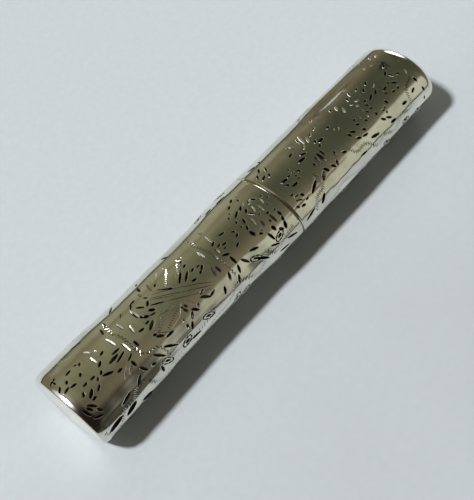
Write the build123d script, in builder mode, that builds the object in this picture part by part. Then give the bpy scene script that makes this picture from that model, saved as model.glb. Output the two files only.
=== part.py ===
"""Oval silver needle case, lying on its side along X, in two halves that pull apart.

The base (-X half) is a rolled oval tube with a flat end plate and an inner sleeve that stands out of
its mouth. The lid (+X half) is a rolled oval tube with a raised end cap, and it slides on the sleeve.
A "station" is a distance along the case, measured from the flat end. The origin is at the middle of the
length and of the width, on the surface that the case lies on.
"""

import os
from math import hypot

from build123d import *

# Driving dimensions, in millimetres
case_length = 86.0
case_height = 10.2  # through the flat of the oval, along Z
flat_end_width = 15.9  # across the oval, along Y
waist_width = 14.95
mouth_width = 15.7
cap_width = 15.4

seam_station = 47.2  # where the base and the lid meet
seam_gap = 0.15
base_wall = 0.5
sleeve_wall = 0.35
slide_clearance = 0.05  # between the sleeve and the lid, each side
plate_thickness = 0.6
rim_radius = 0.12  # worn outer edges of the two mouths
plate_edge_radius = 0.35  # filed round all along the closed end

waist_start, waist_full = 4.0, 21.0  # the base narrows between these stations
waist_end, mouth_start = 34.5, 41.4  # and opens again between these
taper_start = 60.0  # the lid narrows from here to the cap

sleeve_start = 42.2
sleeve_end = 56.2
solder_width = 0.3  # of the lengthwise seams
solder_hollow = 0.03  # how far the seams' solder has sunk below the sheet
solder_leg = 0.4  # of the rings in the corners
solder_land = 0.06  # least thickness at the feather edge of a ring
solder_bead = 0.2  # thickness of the ring that bridges the cap's joint

cap_station = 83.0  # where the lid tube ends and the cap starts
cap_skirt = 0.5
shoulder_radius = 2.2

# Sizes that follow from them
lid_wall = base_wall - slide_clearance
base_end = seam_station - seam_gap / 2
lid_start = seam_station + seam_gap / 2
oval_ratio_at_cap = case_height / cap_width


def ease(share):
    """Smooth step from 0 to 1."""
    share = min(max(share, 0.0), 1.0)
    return share * share * (3 - 2 * share)


def base_width(station):
    """Outer width of the base, with its hand-worked waist."""
    narrowing = (flat_end_width - waist_width) * ease((station - waist_start) / (waist_full - waist_start))
    opening = (mouth_width - waist_width) * ease((station - waist_end) / (mouth_start - waist_end))
    return flat_end_width - narrowing + opening


def lid_width(station):
    """Outer width of the lid tube, which narrows a little towards the cap."""
    return mouth_width - (mouth_width - cap_width) * ease(
        (station - taper_start) / (cap_station - taper_start)
    )


def across(station):
    """Plane across the case at a station, centred on the oval."""
    return Plane(
        origin=(station - case_length / 2, 0, case_height / 2), x_dir=(0, 1, 0), z_dir=(1, 0, 0)
    )


def oval(station, width, inset=0.0):
    """The oval at a station, set in on every side by the inset."""
    with BuildSketch(across(station)) as section:
        Ellipse(width / 2 - inset, case_height / 2 - inset)
    return section.sketch


def loft_ovals(stations, width_at, inset, mode):
    """One smooth body through the ovals at the stations."""
    loft([oval(station, width_at(station), inset) for station in stations], mode=mode)


def extrude_oval(start, end, width, inset, mode):
    """Straight oval body between two stations."""
    extrude(oval(start, width, inset), amount=end - start, mode=mode)


def build_base_shell():
    """Wall of the base: straight at the end plate, waisted, straight again at the mouth."""
    waist_stations = [waist_start, 8, 12, 16, waist_full, 28, waist_end, 36.5, 38, 39.5, mouth_start]
    for inset, mode in ((0.0, Mode.ADD), (base_wall, Mode.SUBTRACT)):
        extrude_oval(plate_thickness, waist_start, flat_end_width, inset, mode)
        loft_ovals(waist_stations, base_width, inset, mode)
        extrude_oval(mouth_start, base_end, mouth_width, inset, mode)


def build_lid_shell():
    """Wall of the lid tube: straight at the mouth, tapering towards the cap."""
    taper_stations = [taper_start, 66, 72, 78, cap_station]
    for inset, mode in ((0.0, Mode.ADD), (lid_wall, Mode.SUBTRACT)):
        extrude_oval(lid_start, taper_start, mouth_width, inset, mode)
        loft_ovals(taper_stations, lid_width, inset, mode)


def seam_strip(start, end, bottom, mode):
    """Thin upright strip through the underside wall, between two stations."""
    with BuildSketch(Plane.XY.offset(bottom)) as strip:
        with Locations(((start + end) / 2 - case_length / 2, 0)):
            Rectangle(end - start, solder_width)
    extrude(strip.sketch, amount=2 * base_wall - bottom, mode=mode)


def solder_ring(start, end, width, inset):
    """Ring of solder in a corner: widest against the face at the start, thinnest at the end."""
    extrude_oval(start, end, width, inset, Mode.ADD)
    loft([oval(start, width, inset + solder_leg), oval(end, width, inset + solder_land)], mode=Mode.SUBTRACT)


# Base half
with BuildPart() as base_tube:
    build_base_shell()
    mouth_edge = base_tube.edges().group_by(Axis.X)[-1].sort_by(SortBy.LENGTH)[-1]
    fillet(mouth_edge, rim_radius)
    seam_strip(0, base_end + 1, -base_wall, Mode.SUBTRACT)

with BuildPart() as base_seam_solder:
    build_base_shell()
    seam_strip(0, base_end - rim_radius, solder_hollow, Mode.INTERSECT)

with BuildPart() as base_end_plate:
    extrude_oval(0, plate_thickness, flat_end_width, 0, Mode.ADD)
    fillet(base_end_plate.faces().sort_by(Axis.X)[0].edges(), plate_edge_radius)

with BuildPart() as end_plate_solder:
    solder_ring(plate_thickness, plate_thickness + solder_leg, flat_end_width, base_wall)

with BuildPart() as inner_sleeve:
    extrude_oval(sleeve_start, sleeve_end, mouth_width, base_wall, Mode.ADD)
    lead_in = inner_sleeve.edges().group_by(Axis.X)[-1]
    chamfer(lead_in, sleeve_wall / 3)
    extrude_oval(sleeve_start, sleeve_end, mouth_width, base_wall + sleeve_wall, Mode.SUBTRACT)

with BuildPart() as sleeve_solder:
    solder_ring(sleeve_start, sleeve_start - solder_leg, mouth_width, base_wall)

# Lid half
with BuildPart() as lid_tube:
    build_lid_shell()
    mouth_edge = lid_tube.edges().group_by(Axis.X)[0].sort_by(SortBy.LENGTH)[-1]
    fillet(mouth_edge, rim_radius)
    seam_strip(lid_start - 1, cap_station + 1, -base_wall, Mode.SUBTRACT)

with BuildPart() as lid_seam_solder:
    build_lid_shell()
    seam_strip(lid_start + rim_radius, cap_station, solder_hollow, Mode.INTERSECT)

# The cap is turned round, then flattened to the oval. Its crown is an arc about the axis that runs
# smoothly into the arc of the shoulder, so the two centres give the crown's radius.
cap_radius = cap_width / 2
cap_depth = case_length - cap_station - cap_skirt
shoulder_offset = cap_radius - shoulder_radius
crown_radius = (shoulder_offset**2 + cap_depth**2 - shoulder_radius**2) / (2 * (cap_depth - shoulder_radius))
crown_centre = case_length / 2 - crown_radius
shoulder_centre = case_length / 2 - cap_depth


def cap_outline(inset):
    """Half outline of the cap, set in on every side by the inset, from the joint to the axis."""
    reach = hypot(shoulder_centre - crown_centre, shoulder_offset)
    crown = crown_radius - inset
    meeting = (
        crown_centre + crown * (shoulder_centre - crown_centre) / reach,
        crown * shoulder_offset / reach,
    )
    joint = cap_station - case_length / 2
    with BuildSketch(Plane.XZ) as outline:
        with BuildLine():
            skirt = Line((joint, cap_radius - inset), (shoulder_centre, cap_radius - inset))
            shoulder = TangentArc(skirt @ 1, meeting, tangent=skirt % 1)
            end_crown = TangentArc(shoulder @ 1, (crown_centre + crown, 0), tangent=shoulder % 1)
            Polyline(end_crown @ 1, (joint, 0), skirt @ 0)
        make_face()
    return outline.sketch


with BuildPart() as turned_cap:
    revolve(cap_outline(0), axis=Axis.X)
    revolve(cap_outline(lid_wall), axis=Axis.X, mode=Mode.SUBTRACT)

with BuildPart() as lid_end_cap:
    with Locations((0, 0, case_height / 2)):
        add(scale(turned_cap.part, by=(1, 1, oval_ratio_at_cap), mode=Mode.PRIVATE))

with BuildPart() as cap_solder:
    extrude_oval(cap_station - solder_leg, cap_station + solder_leg, cap_width, lid_wall, Mode.ADD)
    extrude_oval(
        cap_station - solder_leg, cap_station + solder_leg, cap_width, lid_wall + solder_bead, Mode.SUBTRACT
    )

pieces = {
    "base_tube": base_tube,
    "base_seam_solder": base_seam_solder,
    "base_end_plate": base_end_plate,
    "end_plate_solder": end_plate_solder,
    "inner_sleeve": inner_sleeve,
    "sleeve_solder": sleeve_solder,
    "lid_tube": lid_tube,
    "lid_seam_solder": lid_seam_solder,
    "lid_end_cap": lid_end_cap,
    "cap_solder": cap_solder,
}

os.makedirs("parts", exist_ok=True)
for name, piece in pieces.items():
    piece.part.label = name
    export_step(piece.part, f"parts/{name}.step")
    print(name, round(piece.part.volume, 2), "mm3")
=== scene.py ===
"""Looks of an old silver needle case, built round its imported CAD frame.

The case is an oval tube that lies on its side along X, in two halves that pull apart. Each half starts here
as a flat sheet of silver, as it did at the bench: the engraver's cuts are taken out of the flat sheet, and
the sheet is then rolled up. A place on a sheet is a station, the distance along the case from its flat
closed end, and a girth, the distance round the oval from the ridge on top, positive towards -Y. Both are
in millimetres.
"""

import logging
import math
from collections.abc import Iterable
from dataclasses import dataclass, field
from enum import Enum

import bmesh
import bpy
import numpy as np
from mathutils import Matrix, Vector


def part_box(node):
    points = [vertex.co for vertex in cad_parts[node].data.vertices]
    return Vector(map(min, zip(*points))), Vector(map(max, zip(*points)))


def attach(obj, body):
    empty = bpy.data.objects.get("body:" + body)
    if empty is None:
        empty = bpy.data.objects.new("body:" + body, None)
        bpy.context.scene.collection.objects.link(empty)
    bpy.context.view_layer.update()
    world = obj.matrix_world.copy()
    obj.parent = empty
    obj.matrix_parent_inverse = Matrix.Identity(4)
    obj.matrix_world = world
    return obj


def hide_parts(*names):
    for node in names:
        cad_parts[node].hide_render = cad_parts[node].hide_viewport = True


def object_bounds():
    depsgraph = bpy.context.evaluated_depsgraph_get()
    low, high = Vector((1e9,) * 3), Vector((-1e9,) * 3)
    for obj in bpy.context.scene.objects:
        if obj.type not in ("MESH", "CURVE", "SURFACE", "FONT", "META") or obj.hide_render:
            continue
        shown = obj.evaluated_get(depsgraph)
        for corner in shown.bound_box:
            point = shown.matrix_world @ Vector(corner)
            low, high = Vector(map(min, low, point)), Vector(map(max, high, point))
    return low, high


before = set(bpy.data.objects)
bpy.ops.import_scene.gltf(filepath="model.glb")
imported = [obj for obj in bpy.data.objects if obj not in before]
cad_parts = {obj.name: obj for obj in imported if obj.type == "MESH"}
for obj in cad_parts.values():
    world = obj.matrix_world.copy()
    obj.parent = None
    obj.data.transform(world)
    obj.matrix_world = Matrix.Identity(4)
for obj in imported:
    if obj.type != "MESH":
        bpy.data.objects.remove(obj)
cad_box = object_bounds()

MM = 0.001
NEAR = 1e-4  # in millimetres: closer than this is the same place
WELD = 1e-5  # in millimetres: vertices closer than this become one
log = logging.getLogger("needle_case")


# ---------------------------------------------------------------------------------------------- helpers


def linear(code: str) -> tuple[float, float, float, float]:
    """Turn an sRGB hex code into a linear colour with full alpha.

    Args:
        code: Colour as "#RRGGBB".

    Returns:
        Red, green, blue and alpha, from 0 to 1.
    """
    shares = [int(code[i : i + 2], 16) / 255 for i in (1, 3, 5)]
    curved = [c / 12.92 if c <= 0.04045 else ((c + 0.055) / 1.055) ** 2.4 for c in shares]
    return (*curved, 1.0)


def add_node(
    tree: bpy.types.NodeTree, kind: str, settings: dict[str, object] | None = None, **inputs: object
) -> bpy.types.Node:
    """Add a node with its settings, and its inputs as values or links.

    Args:
        tree: Node tree that gets the node.
        kind: Type name after "ShaderNode".
        settings: Properties of the node.
        **inputs: Socket name, with _ for a space, or "i" and its number, to a value or an output socket.

    Returns:
        The new node.
    """
    node = tree.nodes.new("ShaderNode" + kind)
    for name, value in (settings or {}).items():
        setattr(node, name, value)
    for name, value in inputs.items():
        socket = node.inputs[int(name[1:])] if name[1:].isdigit() else node.inputs[name.replace("_", " ")]
        if isinstance(value, bpy.types.NodeSocket):
            tree.links.new(value, socket)
        else:
            socket.default_value = value
    return node


def new_metal(name: str) -> tuple[bpy.types.Material, bpy.types.NodeTree, bpy.types.Node]:
    """Start a metal.

    Args:
        name: Name for the material.

    Returns:
        The material, its node tree and its shader.
    """
    material = bpy.data.materials.new(name)
    material.use_nodes = True
    shader = material.node_tree.nodes["Principled BSDF"]
    shader.inputs["Metallic"].default_value = 1.0
    return material, material.node_tree, shader


def make_object(name: str, mesh: bpy.types.Mesh) -> bpy.types.Object:
    """Put a mesh in the scene as an object at the origin.

    Args:
        name: Name for the object.
        mesh: Its mesh.

    Returns:
        The object.
    """
    piece = bpy.data.objects.new(name, mesh)
    bpy.context.scene.collection.objects.link(piece)
    return piece


def object_from(name: str, bm: bmesh.types.BMesh) -> bpy.types.Object:
    """Turn a bmesh into an object at the origin, and free the bmesh.

    Args:
        name: Name for the object and its mesh.
        bm: The bmesh.

    Returns:
        The object.
    """
    mesh = bpy.data.meshes.new(name)
    bm.to_mesh(mesh)
    bm.free()
    return make_object(name, mesh)


def object_in_case(
    name: str, bm: bmesh.types.BMesh, station: float, form: "CaseForm", sharp_deg: float
) -> bpy.types.Object:
    """Put a bmesh made in millimetres round its own axis in its place in the case, and shade it.

    Args:
        name: Name for the object and its mesh.
        bm: The bmesh, with its start at x = 0 and its axis along X.
        station: Station of its start.
        form: The case's form.
        sharp_deg: Edges bent by more than this many degrees stay sharp.

    Returns:
        The object.
    """
    place = Matrix.Translation((station - form.length / 2, 0, form.height / 2))
    bmesh.ops.transform(bm, matrix=place, verts=bm.verts)
    bmesh.ops.scale(bm, vec=(MM, MM, MM), verts=bm.verts)
    piece = object_from(name, bm)
    piece.data.shade_smooth()
    piece.data.set_sharp_from_angle(angle=math.radians(sharp_deg))
    return piece


def ease(share: np.ndarray) -> np.ndarray:
    """Step smoothly from 0 to 1.

    Args:
        share: How far along the step, below 0 before it and above 1 after it.

    Returns:
        Values from 0 to 1.
    """
    share = np.clip(share, 0.0, 1.0)
    return share * share * (3 - 2 * share)


def vertex_places(mesh: bpy.types.Mesh) -> np.ndarray:
    """Read where a mesh's vertices are.

    Args:
        mesh: The mesh.

    Returns:
        Rows of x, y and z.
    """
    places = np.zeros(len(mesh.vertices) * 3)
    mesh.vertices.foreach_get("co", places)
    return places.reshape(-1, 3)


# ------------------------------------------------------------------------------------------ case outline


@dataclass(frozen=True)
class Dent:
    """Shallow knock in the silver, in millimetres."""

    station: float
    girth: float
    length: float
    width: float
    depth: float

    def rise(self, station: np.ndarray, girth: np.ndarray) -> np.ndarray:
        """Work out the height that the dent adds.

        Args:
            station: Distances from the flat end.
            girth: Distances round the oval from the ridge.

        Returns:
            Heights in millimetres, all below zero.
        """
        far = ((station - self.station) / self.length) ** 2 + ((girth - self.girth) / self.width) ** 2
        return -self.depth * np.exp(-far)


@dataclass(frozen=True)
class CaseForm:
    """Outer form of the case in millimetres: an oval that changes width along its length."""

    length: float
    height: float
    flat_end_width: float
    mouth_width: float
    cap_width: float
    seam_station: float
    cap_station: float
    waist_width: float = 14.95
    waist: tuple[float, float, float, float] = (4.0, 21.0, 34.5, 41.4)
    taper_start: float = 60.0
    worn_end: float = 0.19  # how far the edge of the closed end has worn down
    worn_from: float = 0.6  # station where the sheet starts, behind the end plate
    worn_reach: float = 0.95  # how far along the sheet the wear goes
    wave_seed: int = 11
    wave_count: int = 22
    wave_reach: tuple[float, float] = (0.35, 3.4)  # of the finest and the broadest wave
    wave_slope: float = 0.0029
    broad_face_waves: float = 0.75  # share of the waves' height left where planishing was most careful
    broad_face: tuple[float, float] = (4.5, 3.5)  # half its girth, and that of the change to the side
    mouth_waves: float = 0.25  # share of the waves' height left at the mouths
    mouth_calm: tuple[float, float] = (0.3, 3.0)  # stretch beside the seam, and that of the change
    plate_calm: float = 2.0  # stretch over which the unevenness grows from the end plate
    belly_calm: tuple[float, float] = (6.0, 3.0)  # half girth that never stands proud, and the change
    girth_samples: int = 4001
    dents: tuple[Dent, ...] = (
        Dent(70.0, -4.4, 6.5, 1.4, 0.42),
        Dent(76.2, -3.4, 1.8, 1.3, 0.05),
        Dent(64.0, 3.4, 4.0, 2.2, 0.04),
        Dent(55.0, -0.6, 5.0, 2.4, 0.035),
        Dent(81.5, 0.2, 1.0, 1.9, 0.13),
        Dent(9.0, 6.4, 5.0, 1.6, 0.05),
        Dent(6.5, 8.0, 6.0, 0.55, 0.07),
        Dent(19.0, 8.3, 7.0, 0.5, 0.05),
        Dent(33.0, 7.9, 6.0, 0.6, 0.05),
        Dent(23.0, 5.6, 7.0, 1.9, 0.03),
        Dent(37.0, -3.6, 6.0, 1.8, 0.03),
        Dent(31.0, 13.0, 6.0, 3.0, 0.05),
        Dent(68.0, 15.0, 7.0, 3.0, 0.05),
        Dent(60.0, -13.0, 6.0, 3.5, 0.04),
        Dent(14.0, -14.0, 7.0, 3.0, 0.05),
    )
    turns: np.ndarray = field(init=False, repr=False, compare=False)
    girths: np.ndarray = field(init=False, repr=False, compare=False)

    @classmethod
    def from_frame(cls) -> "CaseForm":
        """Read the form's driving sizes from the CAD frame.

        Returns:
            The form, in millimetres.
        """
        low, high = cad_box

        def span(node: str, axis: int) -> float:
            """Size of a CAD node along an axis, in millimetres."""
            lowest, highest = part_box(node)
            return (highest[axis] - lowest[axis]) / MM

        def station(x: float) -> float:
            """Station of a place on the frame's X axis."""
            return (x - low.x) / MM

        return cls(
            length=(high.x - low.x) / MM,
            height=(high.z - low.z) / MM,
            flat_end_width=span("base_end_plate", 1),
            mouth_width=span("lid_tube", 1),
            cap_width=span("lid_end_cap", 1),
            seam_station=(station(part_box("base_tube")[1].x) + station(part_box("lid_tube")[0].x)) / 2,
            cap_station=station(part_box("lid_end_cap")[0].x),
        )

    def __post_init__(self) -> None:
        """Measure round the nominal oval, from the middle of the underside, for turning girth to angle."""
        turns = np.linspace(-math.pi / 2, 1.5 * math.pi, self.girth_samples)
        steps = np.hypot(
            np.diff(self.mouth_width / 2 * np.cos(turns)), np.diff(self.height / 2 * np.sin(turns))
        )
        travelled = np.concatenate(([0.0], np.cumsum(steps)))
        object.__setattr__(self, "turns", turns)
        object.__setattr__(self, "girths", travelled - travelled[-1] / 2)

    @property
    def half_girth(self) -> float:
        """Distance round the oval from the ridge on top to the middle of the underside."""
        return float(self.girths[-1])

    def width(self, station: np.ndarray) -> np.ndarray:
        """Outer width at the stations: waisted in the base, tapering in the lid.

        Args:
            station: Distances from the flat end.

        Returns:
            Widths in millimetres.
        """
        start, full, end, mouth = self.waist
        narrowing = (self.flat_end_width - self.waist_width) * ease((station - start) / (full - start))
        opening = (self.mouth_width - self.waist_width) * ease((station - end) / (mouth - end))
        taper = (self.mouth_width - self.cap_width) * ease(
            (station - self.taper_start) / (self.cap_station - self.taper_start)
        )
        return self.flat_end_width - narrowing + opening - taper

    def hammer_marks(self, station: np.ndarray, girth: np.ndarray) -> np.ndarray:
        """Add up random gentle waves of many sizes, as planishing and handling leave.

        Args:
            station: Distances from the flat end.
            girth: Distances round the oval from the ridge.

        Returns:
            Height of the waves, in millimetres.
        """
        chance = np.random.default_rng(self.wave_seed)
        height = np.zeros_like(station)
        for reach in np.geomspace(*self.wave_reach, self.wave_count):
            turn, phase = chance.uniform(0, math.tau, 2)
            crossing = station * math.cos(turn) + girth * math.sin(turn)
            height += self.wave_slope * reach * np.sin(crossing / reach + phase)
        return height

    def unevenness(self, station: np.ndarray, girth: np.ndarray) -> np.ndarray:
        """Waves and knocks of hand-worked silver, fading out at the mouths and at the flat end.

        Args:
            station: Distances from the flat end.
            girth: Distances round the oval from the ridge.

        Returns:
            Height above the true form, in millimetres, never above it near the underside.
        """
        from_seam = ease((np.abs(station - self.seam_station) - self.mouth_calm[0]) / self.mouth_calm[1])
        from_plate = ease((station - self.worn_from) / self.plate_calm)
        on_sides = ease((np.abs(girth) - self.broad_face[0]) / self.broad_face[1])
        underneath = ease((np.abs(girth) - self.half_girth + self.belly_calm[0]) / self.belly_calm[1])
        left_at_seam = self.mouth_waves + (1 - self.mouth_waves) * from_seam
        waves = self.hammer_marks(station, girth) * (self.broad_face_waves + on_sides) * left_at_seam
        knocks = sum(dent.rise(station, girth) for dent in self.dents) * from_seam
        near_plate = np.clip(1 - (station - self.worn_from) / self.worn_reach, 0.0, 1.0)
        height = (waves + knocks) * from_plate - self.worn_end * near_plate**2
        return height - np.maximum(height, 0.0) * underneath

    def roll(self, flat: np.ndarray) -> np.ndarray:
        """Roll a flat sheet round the oval.

        Args:
            flat: Rows of station, minus the girth, and height above the outer face.

        Returns:
            Rows of x, y and z in the row frame, in millimetres.
        """
        station, across, rise = flat.T
        turn = np.interp(-across, self.girths, self.turns)
        half_width, half_height = self.width(station) / 2, self.height / 2
        outward = np.stack([np.cos(turn) / half_width, np.sin(turn) / half_height])
        outward /= np.linalg.norm(outward, axis=0)
        lift = rise + self.unevenness(station, -across)
        return np.stack(
            [
                station - self.length / 2,
                half_width * np.cos(turn) + lift * outward[0],
                half_height + half_height * np.sin(turn) + lift * outward[1],
            ],
            axis=1,
        )

    def outward(self, flat: np.ndarray, step: float = 0.02) -> np.ndarray:
        """Work out which way the rolled sheet's outer face looks, dents and waves included.

        Args:
            flat: Rows of station, minus the girth, and height above the outer face.
            step: Half the distance between the places compared.

        Returns:
            Rows of unit vectors.
        """
        along, round_about = np.array([step, 0, 0]), np.array([0, step, 0])
        lengthwise = self.roll(flat + along) - self.roll(flat - along)
        crosswise = self.roll(flat + round_about) - self.roll(flat - round_about)
        facing = np.cross(lengthwise, crosswise)
        return facing / np.linalg.norm(facing, axis=1, keepdims=True)


# --------------------------------------------------------------------------------------------- engraving


@dataclass(frozen=True)
class Graver:
    """Tool and stroke that make one kind of cut, in millimetres."""

    width: float
    depth: float
    tarnish: float  # how black the cut has gone, from 0 to 1
    lean: float = 0.0  # share of the half width that the deepest point is moved towards the flat end
    lip: float = 0.1  # width of the worn lip round the cut
    sides: int = 8


class Cut(Enum):
    """Kinds of cut on the case."""

    PLAIN = Graver(width=0.42, depth=0.17, tarnish=1.0)
    THIN = Graver(width=0.24, depth=0.10, tarnish=1.0, lip=0.06)
    BROAD = Graver(width=0.58, depth=0.2, tarnish=1.0)
    LEAF = Graver(width=0.95, depth=0.22, tarnish=1.0, lip=0.16)
    BRIGHT = Graver(width=0.38, depth=0.105, tarnish=0.0, lean=0.3)
    TICK = Graver(width=0.19, depth=0.06, tarnish=0.35, lean=0.3, lip=0.0, sides=4)
    FINE = Graver(width=0.15, depth=0.05, tarnish=0.1, lip=0.0)


@dataclass(frozen=True)
class Stroke:
    """One cut: its middle, length, and angle in degrees from the case's length towards positive girth."""

    station: float
    girth: float
    length: float
    angle: float
    kind: Cut = Cut.PLAIN

    @property
    def width(self) -> float:
        """Width of the cut, which is less for a short dig."""
        return min(self.kind.value.width, 0.5 * self.length)

    @property
    def depth(self) -> float:
        """Depth of the cut, in step with its width."""
        return self.kind.value.depth * self.width / self.kind.value.width

    def on_back(self, form: CaseForm, start: float, end: float) -> "Stroke":
        """Turn the cut end for end on the underside.

        Args:
            form: The case's form.
            start: Station where the half starts.
            end: Station where it ends.

        Returns:
            The cut on the underside.
        """
        side = math.copysign(form.half_girth, self.girth)
        return Stroke(start + end - self.station, side - self.girth, self.length, self.angle, self.kind)

    def on_left(self) -> "Stroke":
        """The same cut on the +Y side of the ridge."""
        return Stroke(self.station, -self.girth, self.length, -self.angle, self.kind)


def strokes(kind: Cut, *rows: tuple[float, float, float, float], run_out: float = 1.36) -> list[Stroke]:
    """Make strokes of one kind.

    Args:
        kind: Kind of cut.
        *rows: Station, girth, length of the deep part, and angle.
        run_out: Whole length over that of the deep part, because the graver lifts gradually.

    Returns:
        The strokes.
    """
    return [Stroke(station, girth, length * run_out, angle, kind) for station, girth, length, angle in rows]


def line(start: tuple[float, float], end: tuple[float, float], kind: Cut = Cut.THIN) -> Stroke:
    """Make one straight cut between two places.

    Args:
        start: Station and girth of one end.
        end: Station and girth of the other.
        kind: Kind of cut.

    Returns:
        The cut.
    """
    run, climb = end[0] - start[0], end[1] - start[1]
    middle = (start[0] + end[0]) / 2, (start[1] + end[1]) / 2
    return Stroke(*middle, math.hypot(run, climb), math.degrees(math.atan2(climb, run)), kind)


def wriggle(
    *path: tuple[float, float], pitch: float = 0.31, swing: float = 82.0, reach: float = 0.85
) -> list[Stroke]:
    """Walk a rocked graver along a smooth path, which leaves a zigzag of small digs.

    The path is a Catmull-Rom curve through its places.

    Args:
        *path: Stations and girths that the line passes through.
        pitch: Distance between digs, in millimetres.
        swing: Angle of each dig to the line, in degrees, to one side and then the other.
        reach: Length of each dig, in millimetres.

    Returns:
        The digs as strokes.
    """
    steps_between, glance = 12, 0.05
    ends = np.array([path[0], *path, path[-1]], float)
    places = []
    for before, here, after, beyond in zip(ends, ends[1:], ends[2:], ends[3:]):
        for share in np.linspace(0, 1, steps_between, endpoint=False)[:, None]:
            bend = share * (
                after - before + share * (2 * before - 5 * here + 4 * after - beyond
                + share * (3 * (here - after) + beyond - before))
            )
            places.append((here + bend / 2).ravel())
    places = np.array([*places, path[-1]])
    travelled = np.concatenate(([0.0], np.cumsum(np.linalg.norm(np.diff(places, axis=0), axis=1))))
    digs = []
    for number, reached in enumerate(np.arange(pitch / 2, travelled[-1], pitch)):
        station, girth = (np.interp(reached, travelled, places[:, axis]) for axis in (0, 1))
        ahead = [np.interp(reached + glance, travelled, places[:, axis]) for axis in (0, 1)]
        behind = [np.interp(reached - glance, travelled, places[:, axis]) for axis in (0, 1)]
        heading = math.degrees(math.atan2(ahead[1] - behind[1], ahead[0] - behind[0]))
        turn = swing if number % 2 else -swing
        digs.append(Stroke(float(station), float(girth), reach, heading + turn, Cut.TICK))
    return digs


def hatching(
    start: tuple[float, float],
    end: tuple[float, float],
    length: float,
    angle: float,
    gap: float = 0.3,
) -> list[Stroke]:
    """Lay a row of parallel fine cuts between two places.

    Args:
        start: Station and girth of the first cut.
        end: Station and girth of the last.
        length: Length of each cut, in millimetres.
        angle: Angle of each cut, in degrees.
        gap: Distance between cuts, in millimetres.

    Returns:
        The cuts.
    """
    steps = max(int(math.hypot(end[0] - start[0], end[1] - start[1]) / gap), 1)
    return [
        Stroke(
            start[0] + (end[0] - start[0]) * number / steps,
            start[1] + (end[1] - start[1]) * number / steps,
            length,
            angle,
            Cut.FINE,
        )
        for number in range(steps + 1)
    ]


def outline(*corners: tuple[float, float], kind: Cut = Cut.FINE) -> list[Stroke]:
    """Join places one after another with straight cuts.

    Args:
        *corners: Stations and girths of the places.
        kind: Kind of cut.

    Returns:
        The cuts.
    """
    return [line(start, end, kind) for start, end in zip(corners, corners[1:])]


def leaf(station: float, girth: float, length: float, angle: float) -> list[Stroke]:
    """Outline a leaf with short fine cuts and mark its rib.

    Args:
        station: Station of its middle.
        girth: Girth of its middle.
        length: Its length, in millimetres.
        angle: Its angle, in degrees.

    Returns:
        The cuts.
    """
    turn, sides = math.radians(angle), 8
    slimness, rib_share = 0.42, 0.32
    corners = []
    for number in range(sides + 1):
        round_leaf = math.tau * number / sides
        along = length / 2 * math.cos(round_leaf)
        across = length / 2 * slimness * math.sin(round_leaf)
        corners.append(
            (
                station + along * math.cos(turn) - across * math.sin(turn),
                girth + along * math.sin(turn) + across * math.cos(turn),
            )
        )
    rib = strokes(Cut.PLAIN, (station, girth, rib_share * length, angle))
    return outline(*corners, kind=Cut.THIN) + rib


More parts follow.
